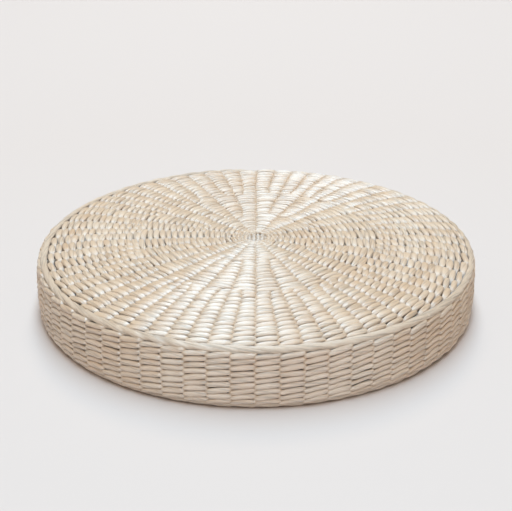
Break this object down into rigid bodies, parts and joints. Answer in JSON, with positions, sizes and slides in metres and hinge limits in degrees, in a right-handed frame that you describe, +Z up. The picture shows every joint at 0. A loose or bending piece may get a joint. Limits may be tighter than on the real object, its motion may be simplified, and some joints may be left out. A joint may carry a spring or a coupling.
{
  "type": "round woven straw seat pad",
  "caption": "Thick round seat pad of twined straw cord with a flat underside, a gently domed top, an upright woven wall and a raised rim.",
  "frame": {"origin": "centre of the flat underside, on the surface the pad rests on", "axes": "+Z up through the middle of the pad, out of its seat face; the pad is round, and +X and +Y lie along the two groups of stakes that cross at its centre"},
  "size_m": [0.3996, 0.3996, 0.066],
  "materials": {
    "straw_weft": "twisted dried straw, satin",
    "straw_rim": "pale dried straw, satin",
    "straw_stake": "bundled dried straw, matt",
    "filling": "matt"
  },
  "bodies": {
    "root": {"core_filling": "filling", "top_weft_outer": "straw_weft", "top_weft_inner": "straw_weft", "top_rim_course": "straw_rim", "wall_weft_outer": "straw_weft", "wall_weft_inner": "straw_weft", "bottom_rim_course": "straw_rim", "bottom_weft_outer": "straw_weft", "bottom_weft_inner": "straw_weft", "long_stake_1": "straw_stake", "long_stake_2": "straw_stake", "long_stake_3": "straw_stake", "long_stake_4": "straw_stake", "long_stake_5": "straw_stake", "long_stake_6": "straw_stake", "long_stake_7": "straw_stake", "long_stake_8": "straw_stake", "inner_stake_1": "straw_stake", "inner_stake_2": "straw_stake", "inner_stake_3": "straw_stake", "inner_stake_4": "straw_stake", "inner_stake_5": "straw_stake", "inner_stake_6": "straw_stake", "inner_stake_7": "straw_stake", "inner_stake_8": "straw_stake", "outer_stake_1": "straw_stake", "outer_stake_2": "straw_stake", "outer_stake_3": "straw_stake", "outer_stake_4": "straw_stake", "outer_stake_5": "straw_stake", "outer_stake_6": "straw_stake", "outer_stake_7": "straw_stake", "outer_stake_8": "straw_stake", "outer_stake_9": "straw_stake", "outer_stake_10": "straw_stake", "outer_stake_11": "straw_stake", "outer_stake_12": "straw_stake", "outer_stake_13": "straw_stake", "outer_stake_14": "straw_stake", "outer_stake_15": "straw_stake", "outer_stake_16": "straw_stake"}
  },
  "joints": []
}
